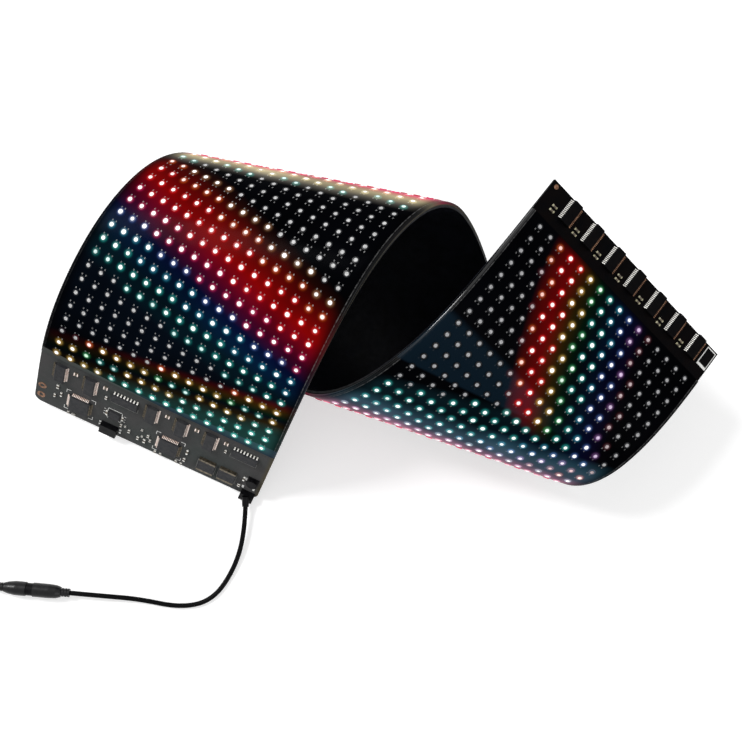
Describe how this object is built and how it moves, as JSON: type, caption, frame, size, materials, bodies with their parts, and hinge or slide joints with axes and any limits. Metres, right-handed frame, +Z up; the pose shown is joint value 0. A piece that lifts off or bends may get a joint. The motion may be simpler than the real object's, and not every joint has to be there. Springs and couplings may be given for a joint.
{
  "type": "flexible car led display",
  "caption": "Bendable LED matrix strip wound into one open turn, with driver chips at both ends and a thin power lead from one corner",
  "frame": {"origin": "centre of the panel's footprint, on the surface it lies on", "axes": "+X along the panel's longest extent, from its control end towards its driver end; +Z up, away from the surface it lies on; the control end's edge faces -Y"},
  "size_m": [0.3042, 0.165, 0.0762],
  "materials": {
    "pad_black": "satin",
    "circuit_grey": "matte",
    "coat_black": "gloss",
    "lens_clear": "gloss",
    "chip_black": "matte",
    "solder_bright": "satin",
    "solder_dull": "satin",
    "lead_copper": "satin",
    "part_white": "satin",
    "part_dark": "satin",
    "print_white": "matte",
    "shell_black": "gloss",
    "cord_black": "satin",
    "plug_black": "satin",
    "plug_metal": "satin",
    "plug_white": "satin"
  },
  "bodies": {
    "root": {"control_backing_pad": "pad_black", "driver_backing_pad": "pad_black", "flex_circuit": "circuit_grey", "control_face_coat": "coat_black", "driver_face_coat": "coat_black", "lamp_lenses": "lens_clear", "column_driver_chips": "chip_black", "column_driver_near_leads": "solder_bright", "column_driver_far_leads": "lead_copper", "column_capacitors": "part_white", "row_driver_chips": "chip_black", "row_driver_leads": "lead_copper", "line_decoder_chips": "chip_black", "line_decoder_leads": "solder_bright", "bypass_capacitors": "part_white", "processor_chips": "chip_black", "processor_leads": "lead_copper", "wireless_chip": "chip_black", "data_socket_shell": "shell_black", "data_socket_tongue": "shell_black", "power_choke_bodies": "chip_black", "power_choke_terminals": "solder_dull", "drum_inductor": "chip_black", "chip_capacitors": "part_white", "chip_resistors": "part_dark", "ring_pads": "lead_copper", "fiducial_dot": "lead_copper", "blank_tag": "print_white", "corner_terminal": "cord_black", "near_lead": "cord_black", "coupler_socket_half": "cord_black", "coupler_ring": "cord_black", "coupler_plug_half": "cord_black", "far_lead": "cord_black", "lead_coil": "cord_black", "tail_lead": "cord_black", "plug_boot": "cord_black", "plug_body": "plug_black", "plug_shell": "plug_metal", "plug_tongue": "plug_white"}
  },
  "joints": []
}
